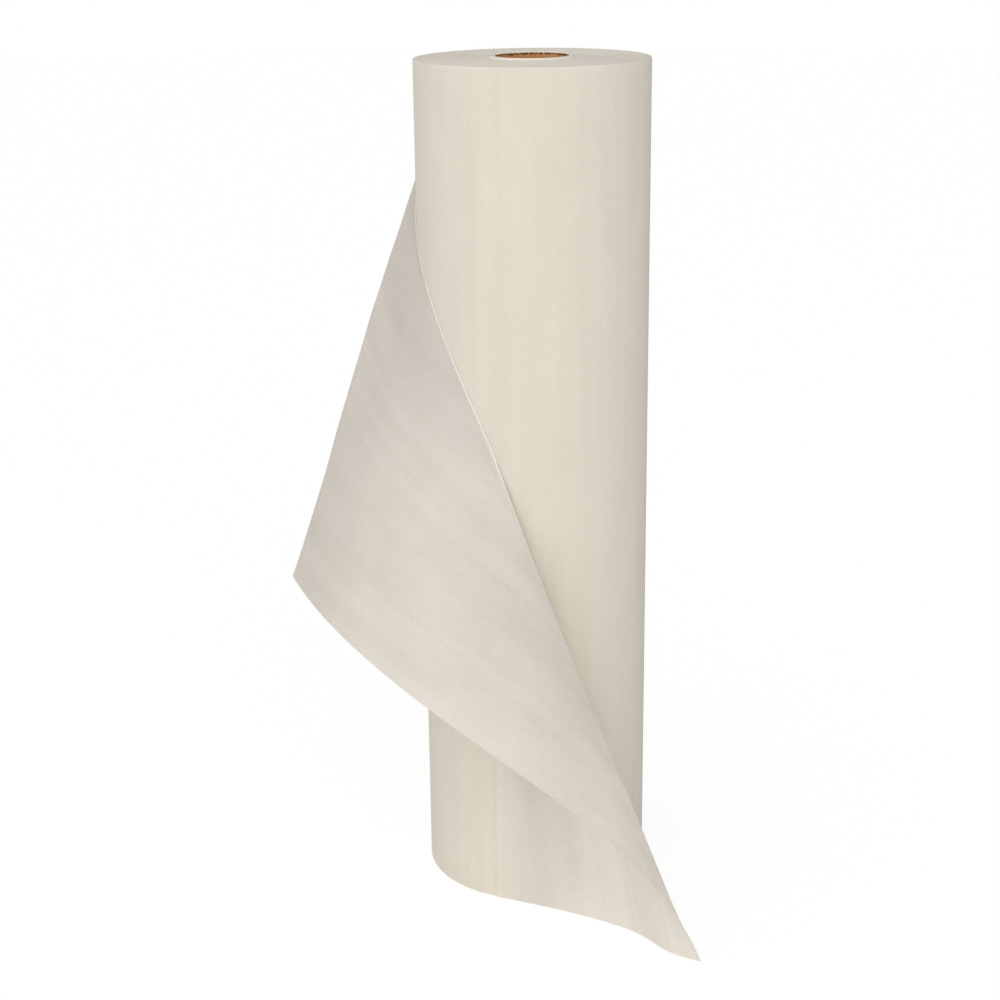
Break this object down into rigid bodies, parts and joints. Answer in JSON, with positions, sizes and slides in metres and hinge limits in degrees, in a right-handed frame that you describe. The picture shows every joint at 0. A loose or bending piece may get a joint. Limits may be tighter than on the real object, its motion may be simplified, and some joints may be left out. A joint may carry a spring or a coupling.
{
  "type": "exam table paper roll",
  "caption": "Roll of smooth white examination table paper on a paperboard core, standing on end with its loose end folded back over its side.",
  "frame": {"origin": "centre of the core's bore at the roll's lower end, on the surface that the roll stands on", "axes": "+Z along the core's bore, up to the upper end; -Y towards the front, where the loose end leaves the roll; +X towards the tip of the loose end"},
  "size_m": [0.2277, 0.2371, 0.458],
  "materials": {
    "exam_paper": "matte, lightly creped",
    "kraft_core": "matte kraft"
  },
  "bodies": {
    "root": {"paper": "exam_paper", "core": "kraft_core"}
  },
  "joints": []
}
